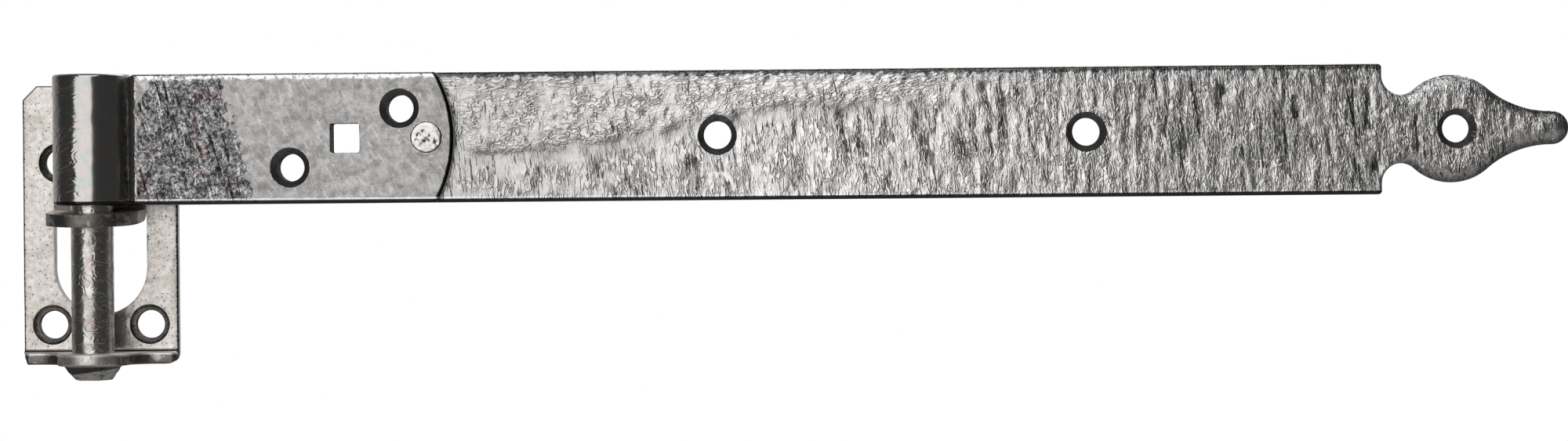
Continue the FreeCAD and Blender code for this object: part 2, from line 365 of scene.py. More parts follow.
def on_strap(place):
    """1 on the open front of the strap, and 0 halfway round its rims and under the flap."""
    if place.y < flap_side:
        return 0.0
    return clamp((strap_core - place.y) / half_bar) * ease(107 * MM, 116 * MM, place.x)


def on_back(place):
    return clamp((place.y - strap_core) / half_bar) * ease(10 * MM, 40 * MM, place.x)


def on_flap(place):
    if place.y > flap_side:
        return 0.0
    return clamp((flap_core - place.y) / half_bar) * ease(fold_x, 24 * MM, place.x)


def on_eye(place):
    outward = hypot(place.x, place.y - pin_y) - eye_inner - half_bar
    return clamp(outward / half_bar) * (1 - ease(10 * MM, fold_x, place.x))


def ledge_height(place):
    climb = ease(ledge_start[0], ledge_end[0], place.x)
    height = ledge_start[1] + (ledge_end[1] - ledge_start[1]) * climb
    return height + ledge_wander * noise.fractal((place.x / ledge_pitch, 0, 3), 1.0, 2.0, 3)


def above_ledge(place):
    """1 on the leathery skin above the ledge, fading out where the ledge reaches the top edge."""
    height = ledge_height(place)
    fade = 1 - ease(235 * MM, 300 * MM, place.x)
    return fade * ease(height - ledge_softness, height + ledge_softness, place.z)


def under_ledge(place):
    """1 in the soft hollow just below the ledge."""
    fade = 1 - ease(225 * MM, 265 * MM, place.x)
    drop = (ledge_height(place) - place.z) / MM
    return fade * ease(-2.5, 1.5, drop) * (1 - ease(1.5, 7.0, drop))


def streaky(place):
    """Weak streaks below the ledge, stronger towards the point."""
    return (1 - above_ledge(place)) * (0.3 + 0.7 * ease(150 * MM, 330 * MM, place.x))


def grainy(place):
    return ease(380 * MM, 410 * MM, place.x)


# %% [markdown]
# The deepest marks are seams, where the hammer folded the skin over. Each one is listed: X and Z of
# its upper end, X and Z of its lower end, and its width. Noise makes it wander and break.

# %% Seams in the skin
seams = [
    (154.0, 23.0, 156.0, 18.5, 0.9),
    (157.0, 18.0, 160.5, 13.0, 1.0),
    (161.0, 21.0, 168.0, 13.0, 0.9),
    (182.3, 26.0, 182.8, 19.0, 0.8),
    (184.0, 25.0, 187.5, 13.5, 1.3),
    (191.3, 25.0, 192.2, 20.5, 1.1),
    (192.8, 19.5, 196.0, 13.5, 1.0),
    (205.5, 28.0, 209.0, 23.5, 0.5),
    (211.3, 36.0, 214.8, 27.5, 0.5),
    (215.4, 36.0, 214.6, 29.5, 0.9),
    (212.0, 21.0, 215.5, 15.5, 0.5),
    (229.3, 39.2, 231.5, 22.5, 1.5),
    (233.0, 32.0, 237.0, 24.5, 1.4),
    (235.8, 24.0, 238.2, 13.5, 0.6),
    (250.2, 45.0, 252.5, 32.0, 1.0),
    (253.6, 40.5, 256.6, 20.5, 1.7),
    (258.0, 39.5, 258.3, 34.5, 0.6),
    (265.5, 31.5, 268.6, 23.0, 1.5),
    (269.8, 37.0, 270.5, 26.0, 0.8),
    (273.6, 47.5, 274.4, 38.0, 0.9),
    (274.6, 35.0, 275.6, 24.5, 0.8),
    (277.5, 47.8, 279.3, 29.0, 1.4),
    (333.3, 36.0, 334.5, 19.5, 1.2),
    (337.0, 48.5, 339.5, 31.0, 1.0),
    (346.0, 47.5, 345.0, 36.0, 1.2),
    (364.6, 44.0, 365.4, 16.0, 1.0),
    (367.5, 42.5, 368.0, 33.0, 2.0),
    (379.8, 37.0, 388.5, 16.0, 0.9),
    (384.0, 48.5, 386.5, 31.0, 1.8),
    (389.5, 47.0, 389.5, 30.0, 1.4),
    (392.0, 25.0, 392.5, 19.0, 1.6),
    (405.5, 40.5, 404.5, 25.0, 1.4),
]
wander = 0.9 * MM
wander_pitch = 4.0 * MM
break_pitch = 2.4 * MM


def in_seam(place):
    """How deep a place lies in a seam, from 0 to 1."""
    deepest = 0.0
    for top_x, top_z, low_x, low_z, width in seams:
        share = (top_z * MM - place.z) / ((top_z - low_z) * MM)
        if -0.1 < share < 1.1:
            line = (top_x + (low_x - top_x) * share) * MM
            line += wander * noise.noise((top_x, place.z / wander_pitch, 0))
            off = (place.x - line) / (width * MM)
            ends = ease(-0.1, 0.15, share) * (1 - ease(0.85, 1.1, share))
            broken = 0.7 + 0.6 * noise.noise((top_x, place.z / break_pitch, 7))
            deepest = max(deepest, ends * clamp(broken) * exp(-off * off))
    return deepest


# %% [markdown]
# The spear point was dressed round with the hammer, so its face falls away towards its outline like a pillow.
# A k-d tree of the outline's own vertices gives each vertex its distance from the edge.

# %% How far the point falls away
fall_width = 4.2 * MM
fall_start = shoulder_x + 2 * MM
outline_y = strap_front + rim_round
outline_points = [
    vertex.co.copy()
    for vertex in band.data.vertices
    if vertex.co.x > fall_start and abs(vertex.co.y - outline_y) < NEAR
]
outline_tree = kdtree.KDTree(len(outline_points))
for number, point in enumerate(outline_points):
    outline_tree.insert(point, number)
outline_tree.balance()


def near_outline(place):
    if place.x < fall_start:
        return 0.0
    point = outline_tree.find((place.x, outline_y, place.z))[0]
    gap = hypot(place.x - point.x, place.z - point.z)
    return clamp(1 - gap / fall_width) ** 1.4 * ease(fall_start, fall_start + 7 * MM, place.x)


# %% Write the vertex groups
def weigh(piece, name, formula):
    """Makes a vertex group whose weights follow a formula of the vertex's place, and returns them."""
    group = piece.vertex_groups.new(name=name)
    weights = [formula(vertex.co) for vertex in piece.data.vertices]
    heavy = [index for index, weight in enumerate(weights) if weight > 0.001]
    for index in heavy:
        group.add([index], weights[index], "REPLACE")
    print("group", name, "on", len(heavy), "vertices")
    return weights


strap_marks = {
    "skin": above_ledge,
    "streak": streaky,
    "hollow": under_ledge,
    "grain": grainy,
    "pillow": near_outline,
    "seam": in_seam,
}
weigh(band, "strap", on_strap)
weigh(band, "back", on_back)
weigh(band, "flap", on_flap)
weigh(band, "eye", on_eye)
marks = {}
for name, mark in strap_marks.items():
    marks[name] = weigh(band, name, lambda place: on_strap(place) * mark(place))

# %% [markdown]
# A Displace modifier reads a texture in object space and moves vertices along one axis. An empty lends the
# streak texture its stretch: it is six times as long upright as it is across, so round noise becomes upright
# streaks. The front of the band faces -Y, so a positive strength sinks the skin.

# %% Push the net
flat_places = [vertex.co.y for vertex in band.data.vertices]
laid = [float(vertex.co.y < flap_side and vertex.co.x > fold_x) for vertex in band.data.vertices]


def linked(name, data=None):
    """A new object in the scene."""
    piece = bpy.data.objects.new(name, data)
    bpy.context.scene.collection.objects.link(piece)
    return piece


def clouds(name, size, depth=2):
    texture = bpy.data.textures.new(name, "CLOUDS")
    texture.noise_scale = size
    texture.noise_depth = depth
    return texture


def push(piece, group, strength, texture=None, stretch=None, middle=0.5, direction="Y"):
    """Adds a Displace modifier for one vertex group and applies it."""
    only(piece)
    modifier = piece.modifiers.new("push_" + group, "DISPLACE")
    modifier.vertex_group = group
    modifier.strength = strength
    modifier.direction = direction
    modifier.mid_level = middle
    if texture:
        modifier.texture = texture
        modifier.texture_coords = "OBJECT" if stretch else "LOCAL"
        modifier.texture_coords_object = stretch
    bpy.ops.object.modifier_apply(modifier=modifier.name)


inwards = {"middle": 1, "direction": "NORMAL"}
upright_stretch = linked("upright_stretch")
upright_stretch.scale = (1, 1, 6)
broad = clouds("broad_waves", 22 * MM)
leather = clouds("leather", 2.2 * MM)
pits = clouds("pits", 3.5 * MM, 3)
drawn = clouds("drawn_out", 2.0 * MM)
push(band, "strap", 0.4 * MM, broad)
push(band, "back", 0.4 * MM, broad)
push(band, "flap", 0.22 * MM, broad)
push(band, "skin", -0.3 * MM, middle=0)
push(band, "skin", 0.65 * MM, leather)
push(band, "streak", 0.6 * MM, drawn, upright_stretch)
push(band, "back", 0.3 * MM, drawn, upright_stretch)
push(band, "strap", 0.4 * MM, pits)
push(band, "flap", 0.1 * MM, pits)
push(band, "grain", 0.7 * MM, leather)
push(band, "hollow", 0.2 * MM, middle=0)
push(band, "seam", 0.35 * MM, middle=0)
relief = [(before - vertex.co.y) / MM for before, vertex in zip(flat_places, band.data.vertices)]
push(band, "pillow", 1.9 * MM, middle=0)
push(band, "eye", 0.16 * MM, clouds("rolled", 6 * MM), **inwards)
bpy.data.objects.remove(upright_stretch)
print("relief from", round(min(relief), 2), "to", round(max(relief), 2), "mm")

# %% [markdown]
# The zinc looks darker in hollows and brighter on crests, and the finish paints shade into the hollows. So
# that the finish can follow the relief, the height of each vertex and its share of a seam or of the leathery
# skin are kept on the mesh as attributes.

# %% Keep the relief for the finish
def keep(piece, name, values):
    attribute = piece.data.attributes.new(name, "FLOAT", "POINT")
    attribute.data.foreach_set("value", values)


band.vertex_groups.clear()
keep(band, "relief", relief)
keep(band, "laid", laid)
for name in ("seam", "skin", "hollow", "pillow"):
    keep(band, name, marks[name])
print("attributes:", [a.name for a in band.data.attributes if a.data_type == "FLOAT"])

# %% [markdown]
# ## Holes
# The screw holes were punched and countersunk after the forging, so they cut clean through the relief. A
# drill is a cylinder whose end is extruded and widened, and one function makes it for each place. The square
# hole takes the neck of a carriage bolt, and the last hole is the seat of the rivet. All drills are joined
# and one Boolean modifier cuts them out.

# %% Drills
hole_radius = 4.25 * MM
mouth_radius = 6.1 * MM
over = 1.0 * MM
strap_hole_pitch = 113.0 * MM
point_hole_x = bulb_x + 1.5 * MM
square_x = 77.2 * MM
square_side = 9.0 * MM
square_round = 0.6 * MM
flap_hole_step = (16.8 * MM, 8.9 * MM)
rivet_x = (rivet_low.x + rivet_high.x) / 2
rivet_shank = 4.0 * MM
rivet_head = (rivet_high.x - rivet_low.x) / 2
rivet_seat = 0.8 * MM
rivet_clearance = 0.05 * MM
rivet_centre = (rivet_x, 0, middle_z)


def settle(name):
    """Names the object that was just added and puts its place into its mesh."""
    piece = bpy.context.object
    piece.name = name
    bpy.ops.object.transform_apply(location=True, rotation=True, scale=True)
    return piece


def rod(name, x, z, radius, front, back):
    """A round rod from front to back."""
    deselect()
    bpy.ops.mesh.primitive_cylinder_add(
        vertices=72,
        radius=radius,
        depth=back - front,
        location=(x, (front + back) / 2, z),
        rotation=(pi / 2, 0, 0),
    )
    piece = settle(name)
    for vertex in piece.data.vertices:
        vertex.co.y = front if vertex.co.y < (front + back) / 2 else back
    return piece


def widen(piece, face_y, step, factor, centre):
    """Extrudes the flat end at one depth and widens it about the axis."""
    edit(piece, "FACE")
    pick(piece, "faces", all_at(1, face_y))
    extrude(0, step, 0)
    bpy.ops.transform.resize(value=(factor, 1, factor), center_override=centre)
    done()


def countersunk_drill(x, z, front):
    depth = mouth_radius - hole_radius
    drill = rod("drill", x, z, hole_radius, front + depth, strap_back + over)
    widen(drill, front + depth, -depth - over, (mouth_radius + over) / hole_radius, (x, front, z))
    return drill


def square_drill():
    deselect()
    bpy.ops.mesh.primitive_cube_add(size=square_side, location=(square_x, strap_front, middle_z))
    drill = settle("drill")
    edit(drill, "EDGE")
    pick(drill, "edges", lambda e: abs(e.verts[0].co.y - e.verts[1].co.y) > NEAR)
    bevel(square_round, 3)
    take_all()
    bpy.ops.transform.resize(value=(1, 3, 1), center_override=(0, strap_front, 0))
    done()
    return drill


def riveted_rod(name, clearance):
    """The rivet's shank with both ends widened into their seats."""
    shank = rivet_shank + clearance
    flare = (rivet_head + clearance) / shank
    front = flap_front + rivet_seat
    back = strap_back - rivet_seat
    piece = rod(name, rivet_x, middle_z, shank, front, back)
    widen(piece, front, -rivet_seat, flare, rivet_centre)
    widen(piece, back, rivet_seat, flare, rivet_centre)
    return piece


def new_material(piece, name):
    material = bpy.data.materials.new(name)
    piece.data.materials.append(material)
    return material


rivet_drill = riveted_rod("drill", rivet_clearance)
widen(rivet_drill, flap_front, -over, 1, rivet_centre)
widen(rivet_drill, strap_back, over, 1, rivet_centre)
drills = [square_drill(), rivet_drill]
hole_places = []
for side in (-1, 1):
    x = square_x + side * flap_hole_step[0]
    z = middle_z + side * flap_hole_step[1]
    drills.append(countersunk_drill(x, z, flap_front))
    hole_places.append((x / MM, z / MM))
for number in range(3):
    x = point_hole_x - number * strap_hole_pitch
    drills.append(countersunk_drill(x, middle_z, strap_front))
    hole_places.append((x / MM, middle_z / MM))
only(drills[0])
for drill in drills:
    drill.select_set(True)
bpy.ops.object.join()
drill = bpy.context.object
shaded_hole_zinc = new_material(drill, "shaded_hole_zinc")
edit(drill)
face_outward()
done()
print("drills joined:", len(drill.data.polygons), "faces")

# %% Cut the holes
smooth_below = radians(36)


def keep_hole_distance(piece, places):
    """Keeps how far each vertex lies from the axis of the nearest hole, in millimetres."""
    spots = [(vertex.co.x / MM, vertex.co.z / MM) for vertex in piece.data.vertices]
    keep(piece, "from_hole", [min(hypot(x - a, z - b) for a, b in places) for x, z in spots])


def smooth(piece):
    """Shades the soft bends smooth and leaves the edges sharp."""
    only(piece)
    bpy.ops.object.shade_smooth_by_angle(angle=smooth_below)
    print(piece.name, sum(len(face.vertices) - 2 for face in piece.data.polygons), "triangles")


band_zinc = new_material(band, "band_zinc")
only(band)
cut = band.modifiers.new("holes", "BOOLEAN")
cut.operation = "DIFFERENCE"
cut.solver = "EXACT"
cut.material_mode = "TRANSFER"
cut.object = drill
bpy.ops.object.modifier_apply(modifier=cut.name)
bpy.data.objects.remove(drill)
keep_hole_distance(band, hole_places)
smooth(band)

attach(band, "band")
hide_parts("band")

# %% [markdown]
# ## The fixing plate
# The plate is one blank of 4 mm steel: the tongue was sheared out of the round-ended window and bent forward,
# and the foot was folded into the lip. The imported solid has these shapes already, so its copy is the start.
# Its loose triangles are merged and flat neighbours are dissolved. A small bevel then rounds all sheared
# edges, because a zinc bath leaves no edge sharp. Only the tiny steps beside the root of the tongue stay as
# they are, because they are too narrow for it.

# %% Merge a copy of the plate and round its edges
sheared_round = 0.18 * MM
step_x, step_z = 14.1 * MM, 13.7 * MM


def merged_copy(node, name):
    """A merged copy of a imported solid, as one clean shell."""
    piece = linked(name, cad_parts[node].data.copy())
    piece.data.materials.clear()
    edit(piece, "EDGE")
    take_all()
    bpy.ops.mesh.customdata_custom_splitnormals_clear()
    bpy.ops.mesh.remove_doubles(threshold=NEAR)
    bpy.ops.mesh.dissolve_limited(angle_limit=radians(0.6))
    done()
    return piece


def in_root_step(edge):
    return all(abs(abs(v.co.x) - step_x) < 0.2 * MM and abs(v.co.z - step_z) < 0.1 * MM for v in edge.verts)


plate = merged_copy("hook_plate", "zinc_plate")
edit(plate, "EDGE")
pick(plate, "edges", lambda e: e.calc_face_angle(0) > radians(28) and not in_root_step(e))
bevel(sheared_round, 2)
done()
print("plate:", len(plate.data.polygons), "faces")

# %% [markdown]
# A net of cuts gives the broad faces more vertices. The corners of the lip were snipped, one straight and one
# round, and its left end was dressed back. A snip is a plane or an arc: what stands out beyond it is pressed
# back onto it, so it needs no new faces and the small bevel stays whole.

# %% Lay a net over the plate and snip the lip
plate_net = 1.6 * MM
net_margin = 0.6 * MM
lip_under = -37.2 * MM
lip_dressed = 0.9 * MM
corner_round = 3.0 * MM
snip_turn = radians(205.5)
snip_place = Vector((plate_low.x + lip_dressed, 0, -34.9 * MM))
snip_facing = Vector((cos(snip_turn), 0, sin(snip_turn)))
round_centre = Vector((plate_high.x - corner_round, 0, lip_under + corner_round))

edit(plate)
for axis in (0, 2):
    lay_net(axis, spread(plate_low[axis] + net_margin, plate_high[axis] - net_margin, plate_net))
done()
snipped = 0
for vertex in plate.data.vertices:
    if vertex.co.z < -30 * MM:
        along = ease(-16 * MM, plate_low.x, vertex.co.x)
        vertex.co.x += lip_dressed * along * ease(5 * MM, 8 * MM, -vertex.co.y)
    beyond = (vertex.co - snip_place).dot(snip_facing)
    if beyond > 0:
        vertex.co -= beyond * snip_facing
        snipped += 1
    vertex.co.y = min(vertex.co.y, plate_high.y)
    out = vertex.co - round_centre
    out.y = 0
    if out.x > 0 > out.z and out.length > corner_round:
        vertex.co -= out * (1 - corner_round / out.length)
        snipped += 1
print("lip:", snipped, "vertices pressed back")

# %% [markdown]
# Plate of this kind is never quite flat once it has been sheared and bent. It gets slow waves and small pits.
# They only go inwards, so the plate stays inside its solid, and its back stays flat, because it lies on the
# post. The sheared walls of tongue and lip, and the distance from the nearest hole, are kept for the finish.

# %% Waves and pits in the plate
face_skin = 0.4 * MM
screw_mouth = 6.2
screw_places = [(-15, -25), (15, -25), (-12.8, 25), (12.8, 25)]

weigh(plate, "front", lambda place: ease(0, face_skin, -place.y))
push(plate, "front", 0.14 * MM, clouds("plate_waves", 12 * MM), **inwards)
push(plate, "front", 0.05 * MM, clouds("plate_pits", 2.5 * MM, 3), **inwards)
plate.vertex_groups.clear()
smooth(plate)
plate_zinc = new_material(plate, "plate_zinc")
shaded_screw_zinc = new_material(plate, "shaded_screw_zinc")
walls = plate.data.attributes.new("sheared_wall", "FLOAT", "FACE")
for face in plate.data.polygons:
    x, y, z = face.center / MM
    nearest = min(hypot(x - a, z - b) for a, b in screw_places)
    if nearest < screw_mouth and abs(face.normal.y) < 0.95:
        face.material_index = 1
    on_tongue = y < -12 and z > 0
    on_lip = z < -33.25 and y < -0.3
    walls.data[face.index].value = float(abs(face.normal.z) < 0.75 and (on_tongue or on_lip))
keep_hole_distance(plate, screw_places)
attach(plate, "hook")
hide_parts("hook_plate")

# %% [markdown]
# ## The pin and its head
# The pin is a bar of round steel. Its upper end is chamfered so that the eye finds it, and its lower end was
# peened into a head under the lip. It starts as a cylinder, the top rim is bevelled, and the lower end is
# extruded step by step down the curve of the head. Blows of the hammer are pushed in afterwards.

# %% Turn the pin
pin_radius = 6.5 * MM
pin_chamfer = 1.3 * MM
head_radius = (pin_high.x - pin_low.x) / 2
head_rim = 1.2 * MM
head_flat = 6.0 * MM
head_steps = 8
head_inset = 1.2 * MM
head_insets = 4
shaft_cuts = 60
hair = 0.001 * MM

deselect()
bpy.ops.mesh.primitive_cylinder_add(
    vertices=96,
    radius=pin_radius,
    depth=pin_high.z - lip_under,
    location=(0, pin_y, (pin_high.z + lip_under) / 2),
)
pin = settle("peened_pin")
edit(pin, "EDGE")
pick(pin, "edges", all_at(2, pin_high.z))
bevel(pin_chamfer, 4, 0.6)
done()

# %% Peen the head


def step_down(level, fall, factor):
    """Extrudes the flat lower end by one step and resizes it about the pin's axis."""
    edit(pin, "FACE")
    pick(pin, "faces", all_at(2, level))
    extrude(0, 0, -fall)
    bpy.ops.transform.resize(value=(factor, factor, 1), center_override=(0, pin_y, 0))
    done()
    return level - fall


level = min(vertex.co.z for vertex in pin.data.vertices)
level = step_down(level, hair, head_radius / pin_radius)
level = step_down(level, head_rim, 1)
curve_height = level - pin_low.z
radius_now = head_radius
for number in range(head_steps):
    turn = (number + 1) / head_steps * pi / 2
    radius_next = head_flat + (head_radius - head_flat) * cos(turn)
    target = pin_low.z + curve_height * (1 - sin(turn))
    level = step_down(level, level - target, radius_next / radius_now)
    radius_now = radius_next
edit(pin, "FACE")
pick(pin, "faces", all_at(2, level))
for number in range(head_insets):
    bpy.ops.mesh.inset(thickness=head_inset)
pick(pin, "edges", lambda e: abs(e.verts[0].co.z - e.verts[1].co.z) > 20 * MM)
bpy.ops.mesh.subdivide(number_cuts=shaft_cuts)
done()
print("pin from", round(pin_high.z / MM, 1), "down to", round(level / MM, 2), "mm")

# %% [markdown]
# The head was beaten down with a few heavy blows, and each left a flat facet. A blow is a plane, with its
# direction and its distance from the middle of the head: what stands out beyond it is pressed back onto it.
# Noise then roughens the head and puts faint ripples on the pin.

# %% Hammer blows on the head, ripples on the pin
blows = [
    ((-0.34, -0.66, -0.67), 6.5),
    ((0.62, -0.42, -0.66), 6.4),
    ((-0.78, -0.1, -0.62), 7.0),
    ((0.85, 0.1, -0.53), 7.3),
    ((0.2, 0.75, -0.63), 6.8),
]
head_centre = Vector((0, pin_y, lip_under))


def on_shaft(place):
    """1 between the lip and the tongue."""
    return clamp((place.z - lip_under) / (3 * MM)) * clamp((11 * MM - place.z) / (2 * MM))


for vertex in pin.data.vertices:
    if vertex.co.z < lip_under - 0.2 * MM:
        for facing, limit in blows:
            facing = Vector(facing).normalized()
            beyond = (vertex.co - head_centre).dot(facing) - limit * MM
            if beyond > 0:
                vertex.co -= facing * beyond
weigh(pin, "head", lambda place: clamp((lip_under - place.z) / MM))
weigh(pin, "shaft", on_shaft)
push(pin, "head", 0.5 * MM, clouds("beaten", 2.5 * MM, 3), **inwards)
push(pin, "shaft", 0.12 * MM, clouds("turned", 4 * MM), **inwards)
pin.vertex_groups.clear()
smooth(pin)
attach(pin, "hook")
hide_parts("hook_pin")

# %% [markdown]
# ## The rivet
# One rivet clamps the end of the flap to the strap. It was driven in with a hammer, so its low dome is dented
# by the blows, and its back is flush with the strap. It is a rod whose two ends are widened into the seats,
# with insets on the front for the dome and its dents. Each dent has its X and Z from the middle, its width
# and its depth.

# %% Drive the rivet
dome = 0.4 * MM
dome_rings = 18
punch_marks = [
    (0.1, -1.1, 1.2, 0.45),
    (-2.2, 0.7, 1.0, 0.35),
    (-0.7, 1.7, 0.9, 0.25),
    (-2.9, -0.9, 0.8, 0.25),
    (-1.6, -2.4, 0.9, 0.22),
    (3.1, -1.6, 0.8, 0.25),
    (1.4, 0.4, 0.7, 0.15),
]

rivet = riveted_rod("driven_rivet", 0)
edit(rivet, "FACE")
pick(rivet, "faces", all_at(1, flap_front))
for number in range(dome_rings):
    bpy.ops.mesh.inset(thickness=rivet_head / (dome_rings + 1))
done()
for vertex in rivet.data.vertices:
    if abs(vertex.co.y - flap_front) < NEAR:
        x = vertex.co.x - rivet_x
        z = vertex.co.z - middle_z
        vertex.co.y -= dome * sqrt(max(0.0, 1 - (x * x + z * z) / rivet_head ** 2))
        for mark_x, mark_z, width, depth in punch_marks:
            off = hypot(x / MM - mark_x, z / MM - mark_z) / width
            vertex.co.y += depth * MM * exp(-2 * off * off)
weigh(rivet, "dome", lambda place: clamp((flap_front + 0.4 * MM - place.y) / (0.3 * MM)))
push(rivet, "dome", 0.14 * MM, clouds("rivet_grain", 0.9 * MM), middle=0)
rivet.vertex_groups.clear()
smooth(rivet)
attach(rivet, "band")
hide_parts("flap_rivet")

# %% [markdown]
# ## Zinc finishes
# All four pieces came out of the same bath, so they share their effects: a mottled skin of fine crystals,
# streaks drawn out by the run-off, and wrinkles in the skin. Each effect is a node group, built once. A few
# helpers keep the node cells short. They all work in the tree that the name tree stands for at that moment.
# One adds a node and sets or links each of its inputs, and the others are the sums and blends used most.

# %% Helpers for node trees


def node(kind, inputs=None, **settings):
    """Adds a shader node with its settings. Inputs given as sockets are linked, and the others are set."""
    made = tree.nodes.new("ShaderNode" + kind)
    for name, value in settings.items():
        setattr(made, name, value)
    for name, value in (inputs or {}).items():
        if isinstance(value, bpy.types.NodeSocket):
            tree.links.new(value, made.inputs[name])
        else:
            made.inputs[name].default_value = value
    return made


def calc(operation, *values, **settings):
    return node("Math", dict(enumerate(values)), operation=operation, **settings).outputs[0]


def times(first, *others):
    for other in others:
        first = calc("MULTIPLY", first, other)
    return first


def plus(first, *others):
    for other in others:
        first = calc("ADD", first, other)
    return first


def minus(first, second):
    return calc("SUBTRACT", first, second)


def without(share):
    return minus(1.0, share)


def away(first, second):
    """The distance that two steps at right angles make."""
    return calc("SQRT", plus(times(first, first), times(second, second)))


def rescale(value, low, high, new_low=0.0, new_high=1.0):
    """A soft step: new_low where the value is at low, new_high where it is at high."""
    ends = {"Value": value, "From Min": low, "From Max": high, "To Min": new_low, "To Max": new_high}
    return node("MapRange", ends, interpolation_type="SMOOTHSTEP").outputs["Result"]


def zone(value, low, high):
    """A soft step from 0 to 1 between two places in millimetres."""
    return rescale(value, low * MM, high * MM)


def blend(share, first, second):
    return node("Mix", {0: share, 2: first, 3: second}, data_type="FLOAT").outputs[0]


def tint(share, first, second, way="MIX"):
    """Blends a second colour into a first one, by a share."""
    return node("Mix", {0: share, 6: first, 7: second}, data_type="RGBA", blend_type=way).outputs[2]


def shade(share, colour, factor):
    """Multiplies a colour by another, by a share."""
    return tint(share, colour, factor, "MULTIPLY")


def coat(colour, *layers):
    """Lays layers on a colour in turn. A layer is tint or shade, its share and its colour."""
    for lay, share, over_it in layers:
        colour = lay(share, colour, over_it)
    return colour


def speckle(place, size, detail=2.0, distortion=0.0):
    inputs = {"Vector": place, "Scale": 1 / size, "Detail": detail, "Distortion": distortion}
    return node("TexNoise", inputs).outputs["Fac"]


def kept(name):
    """A value that was kept on the mesh."""
    return node("Attribute", attribute_name=name).outputs["Fac"]


def grey(level, warmth=0.0):
    """A grey with a little red added and blue taken away."""
    return (level * (1 + warmth), level, level * (1 - warmth), 1)


# %% [markdown]
# The mottled skin is three noises on top of each other: patches a few millimetres wide, the crystals the zinc
# froze into, and a grain as fine as sand. The same patches also decide where the skin is polished and where
# it is dull, so colour and gloss change together, as they do on metal.

# %% Group: mottled zinc


def new_group(name, inputs, outputs):
    """Makes an empty node group. Inputs are name: default value, and outputs are name: kind."""
    group = bpy.data.node_groups.new(name, "ShaderNodeTree")
    for socket, value in inputs.items():
        kind = "NodeSocketFloat" if isinstance(value, float) else "NodeSocketColor"
        group.interface.new_socket(socket, in_out="INPUT", socket_type=kind).default_value = value
    for socket, kind in outputs.items():
        group.interface.new_socket(socket, in_out="OUTPUT", socket_type="NodeSocket" + kind)
    return group, group.nodes.new("NodeGroupInput").outputs, group.nodes.new("NodeGroupOutput").inputs


def wire(sockets, values):
    """Links each value to the socket of its name."""
    for name, value in values.items():
        tree.links.new(value, sockets[name])


tree, given, result = new_group(
    "mottled_zinc",
    {"Pale": grey(0.8), "Deep": grey(0.4), "Patch Size": 3.0 * MM, "Grain": 0.3, "Polish": 0.2, "Dull": 0.4},
    {"Color": "Color", "Roughness": "Float", "Height": "Float"},
)
mottled_zinc = tree
spot = node("TexCoord").outputs["Object"]
patch_scale = calc("DIVIDE", 1.0, given["Patch Size"])
patchy = {"Vector": spot, "Scale": patch_scale, "Detail": 6.0, "Roughness": 0.68, "Distortion": 0.3}
patches = node("TexNoise", patchy).outputs["Fac"]
crystals = node("TexVoronoi", {"Vector": spot, "Scale": times(patch_scale, 1.7)}).outputs["Color"]
crystal = node("SeparateColor", {"Color": crystals}).outputs["Red"]
sand = speckle(spot, 0.45 * MM)
sandy = times(minus(sand, 0.5), given["Grain"])
share = calc("ADD", blend(0.2, rescale(patches, 0.3, 0.7), crystal), sandy, use_clamp=True)
dimpled = {"Vector": spot, "Scale": times(patch_scale, 1.5), "Detail": 1.5}
dimples = node("TexNoise", dimpled).outputs["Fac"]
wire(
    result,
    {
        "Color": tint(share, given["Deep"], given["Pale"]),
        "Roughness": blend(share, given["Dull"], given["Polish"]),
        "Height": blend(0.3, dimples, sand),
    },
)
print("group mottled_zinc:", len(tree.nodes), "nodes")

# %% [markdown]
# Streaks are noise squeezed across and stretched along one direction. A Mapping node turns the object
# coordinates, and a product stretches them before the noise reads them.

# %% Group: drawn streaks


def drawn_place(width, length, lean):
    """Object coordinates, turned about Y and measured in widths across and lengths along."""
    turn = node("CombineXYZ", {"X": 0.0, "Y": lean, "Z": 0.0}).outputs[0]
    straight = node("TexCoord").outputs["Object"]
    turned = node("Mapping", {"Vector": straight, "Rotation": turn}).outputs[0]
    across = calc("DIVIDE", 1.0, width)
    along = calc("DIVIDE", 1.0, length)
    stretch = node("CombineXYZ", {"X": across, "Y": across, "Z": along}).outputs[0]
    return node("VectorMath", {0: turned, 1: stretch}, operation="MULTIPLY").outputs[0]


tree, given, result = new_group(
    "drawn_streaks",
    {"Width": 1.0 * MM, "Length": 8.0 * MM, "Lean": 0.0, "Share": 0.5},
    {"Mask": "Float"},
)
drawn_streaks = tree
streaks = speckle(drawn_place(given["Width"], given["Length"], given["Lean"]), 1.0, 4.0, 0.7)
limit = minus(0.8, times(given["Share"], 0.45))
wire(result, {"Mask": rescale(minus(streaks, limit), -0.06, 0.08)})
print("group drawn_streaks:", len(tree.nodes), "nodes")

# %% [markdown]
# Thick zinc wrinkles as it freezes over a forged skin. A noise crosses its middle value along winding lines,
# so the distance from the middle gives thin worm-like creases, with rounded skin between them.

# %% Group: wrinkled skin
tree, given, result = new_group(
    "wrinkled_skin",
    {"Width": 2.0 * MM, "Length": 2.0 * MM, "Lean": 0.0},
    {"Crease": "Float", "Height": "Float"},
)
wrinkled_skin = tree
winding = speckle(drawn_place(given["Width"], given["Length"], given["Lean"]), 1.0, 1.5, 0.7)
off_line = calc("ABSOLUTE", minus(winding, 0.5))
wire(result, {"Crease": rescale(off_line, 0.065, 0.015), "Height": rescale(off_line, 0.0, 0.14)})
print("group wrinkled_skin:", len(tree.nodes), "nodes")

# %% [markdown]
# The next helpers place a group with its sizes in millimetres, and turn a material into bare metal. A metal
# has no colour of its own below the surface, so Metallic is 1 and the base colour tints what it mirrors.

# %% Helpers for metal


